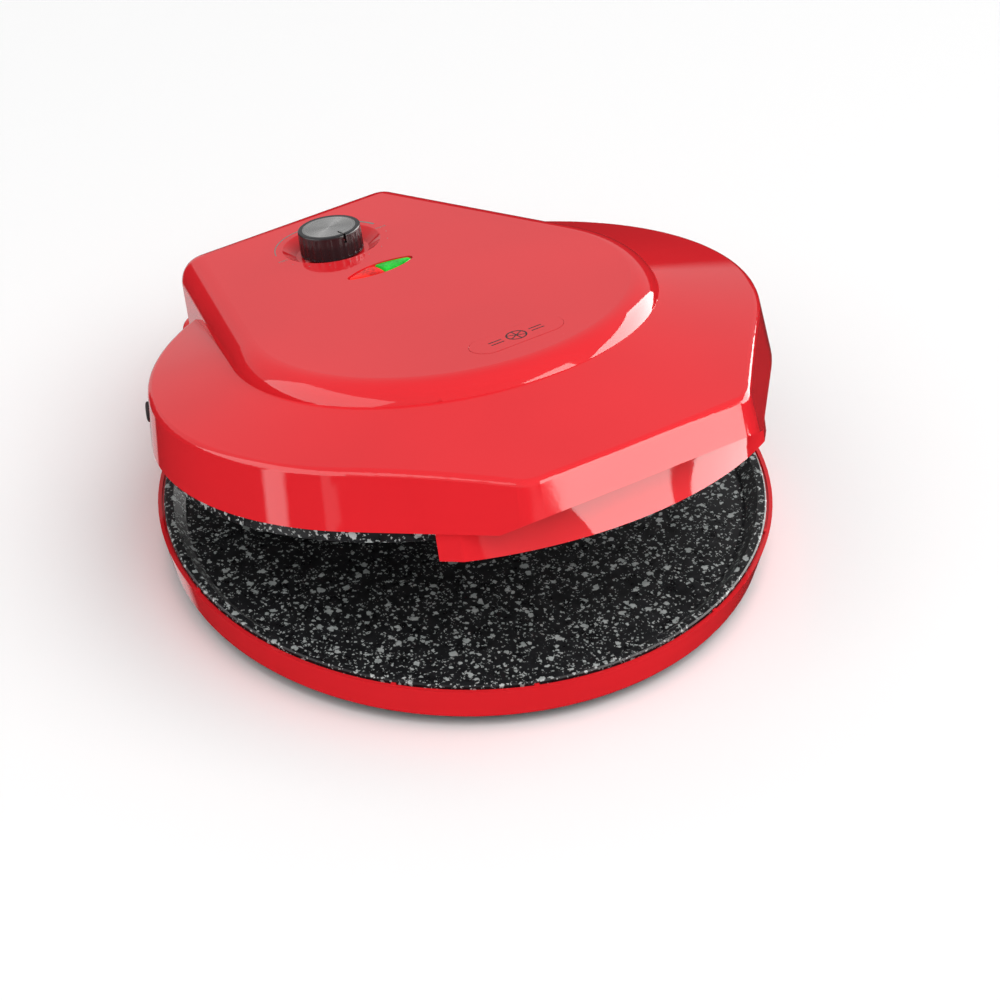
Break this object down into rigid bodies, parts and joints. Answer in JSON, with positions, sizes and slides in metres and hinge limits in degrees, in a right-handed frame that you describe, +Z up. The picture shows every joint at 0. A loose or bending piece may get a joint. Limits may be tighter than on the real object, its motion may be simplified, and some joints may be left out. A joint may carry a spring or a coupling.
{
  "type": "countertop pizza oven",
  "caption": "Round electric countertop pizza oven with a hinged lid, two speckled baking plates, a thermostat knob, lamps and a front handle band.",
  "frame": {"origin": "centre of the oven's footprint box, on the surface that its feet rest on", "axes": "+Z up, -Y to the front where the handle band is, +X to the right as seen from the front"},
  "size_m": [0.338, 0.398, 0.1732],
  "materials": {
    "red_shell": "high-gloss red moulded housing",
    "black_cover": "fine-textured black moulding",
    "speckled_plate": "cast aluminium with black non-stick coating and irregular light grey speckles",
    "steel": "plain steel",
    "reflector": "thin bright sheet",
    "insulation": "mineral fibre felt",
    "rubber": "matte black rubber",
    "technical_plastic": "heat-resistant moulding",
    "cast_hinge": "black powder-coated casting",
    "lens_red": "translucent red, lit",
    "lens_green": "translucent green, lit",
    "lamp_glass": "neon lamp",
    "knob_black": "satin black, ribbed",
    "knob_aluminium": "turned aluminium disc"
  },
  "bodies": {
    "base": {"base_shell": "red_shell", "bottom_cover": "black_cover", "pedestal_cover": "black_cover", "bottom_cover_screws": "steel", "lower_baking_plate": "speckled_plate", "lower_heating_element": "steel", "lower_element_clips": "steel", "lower_reflector": "reflector", "lower_insulation": "insulation", "lower_plate_posts": "steel", "hinge_bracket": "cast_hinge", "hinge_bracket_screws": "steel", "hinge_cover": "red_shell", "hinge_pin": "steel", "hinge_pin_caps": "red_shell", "hinge_washers": "steel", "cord_bushing": "rubber", "terminal_block": "technical_plastic", "thermal_fuse": "steel", "foot_front_left": "rubber", "foot_front_right": "rubber", "foot_rear_left": "rubber", "foot_rear_right": "rubber", "foot_hinge_left": "rubber", "foot_hinge_right": "rubber"},
    "lid": {"lid_shell": "red_shell", "handle_band": "red_shell", "handle_screws": "steel", "lid_rear_cover": "black_cover", "rear_cover_screws": "steel", "upper_baking_plate": "speckled_plate", "upper_heating_element": "steel", "upper_element_clips": "steel", "upper_reflector": "reflector", "upper_insulation": "insulation", "upper_plate_posts": "steel", "hinge_arm_left": "cast_hinge", "hinge_arm_right": "cast_hinge", "hinge_arm_screws": "steel", "hinge_bush_left": "technical_plastic", "hinge_bush_right": "technical_plastic", "side_bumper_left": "rubber", "side_bumper_right": "rubber", "thermostat_body": "technical_plastic", "thermostat_screws": "steel", "lamp_holder": "technical_plastic", "lamp_lens_red": "lens_red", "lamp_lens_green": "lens_green", "indicator_lamps": "lamp_glass", "badge_plate": "red_shell"},
    "knob": {"knob_body": "knob_black", "knob_disc": "knob_aluminium", "thermostat_shaft": "steel"}
  },
  "joints": [
    {"name": "lid_hinge", "type": "hinge", "parent": "base", "child": "lid", "pos_m": [0, 0.17775, 0.0465], "axis": [-1, 0, 0], "range_deg": [-15.5, 79.5]},
    {"name": "knob_turn", "type": "hinge", "parent": "lid", "child": "knob", "pos_m": [0, 0.11159, 0.11404], "axis": [0, 0.2672, 0.9636], "range_deg": [-270, 0]}
  ]
}
